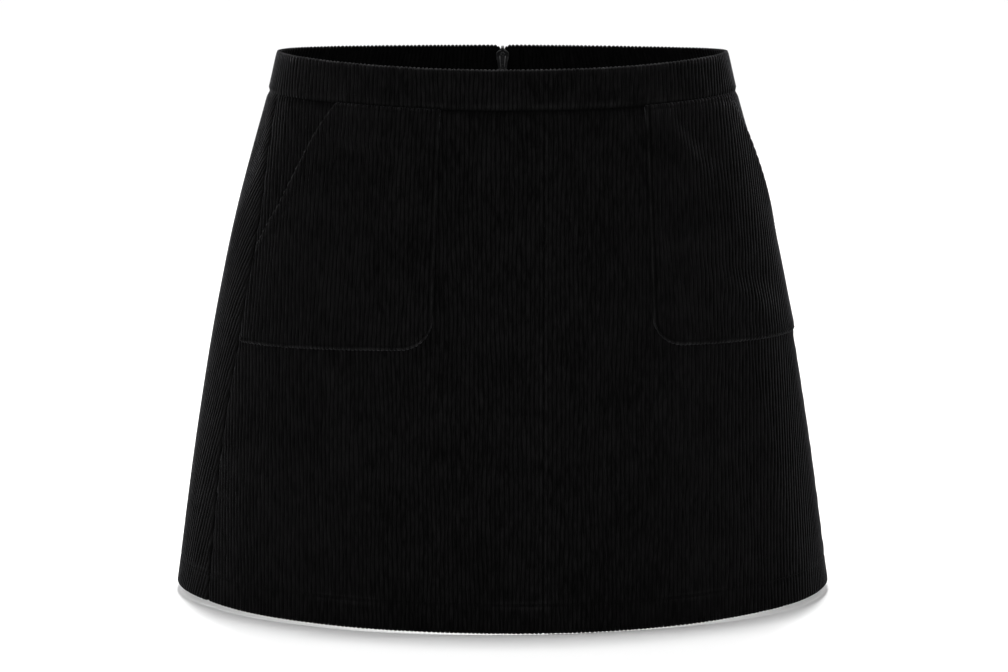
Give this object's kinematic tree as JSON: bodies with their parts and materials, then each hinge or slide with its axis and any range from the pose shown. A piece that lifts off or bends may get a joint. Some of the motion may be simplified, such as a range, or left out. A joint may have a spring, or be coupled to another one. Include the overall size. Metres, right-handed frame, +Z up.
{
  "type": "a-line skirt",
  "caption": "Short black wide-wale corduroy A-line skirt, filled out as worn, with a folded waistband, slanted patch pockets and a concealed back zip.",
  "frame": {"origin": "middle of the waist opening, half way up the waistband, where a wearer's waist holds the skirt", "axes": "+X towards the wearer's left, +Y towards the wearer's back, +Z up"},
  "size_m": [0.5035, 0.2384, 0.4055],
  "materials": {
    "corduroy": "black 8-wale cotton corduroy, napped",
    "zip_tape": "black woven polyester tape",
    "zip_coil": "black polyester coil",
    "zip_metal": "black enamel on die-cast zinc"
  },
  "bodies": {
    "skirt": {"front_left": "corduroy", "front_right": "corduroy", "back_left": "corduroy", "back_right": "corduroy", "waistband": "corduroy", "pocket_left": "corduroy", "pocket_right": "corduroy", "zip_tape_left": "zip_tape", "zip_tape_right": "zip_tape", "zip_coil": "zip_coil", "zip_slider": "zip_metal"},
    "pull_tab": {"zip_pull": "zip_metal"}
  },
  "joints": [
    {"name": "pull_hinge", "type": "hinge", "parent": "skirt", "child": "pull_tab", "pos_m": [0, 0.08486, 0.00491], "axis": [1, 0, 0], "range_deg": [0, 150]}
  ]
}
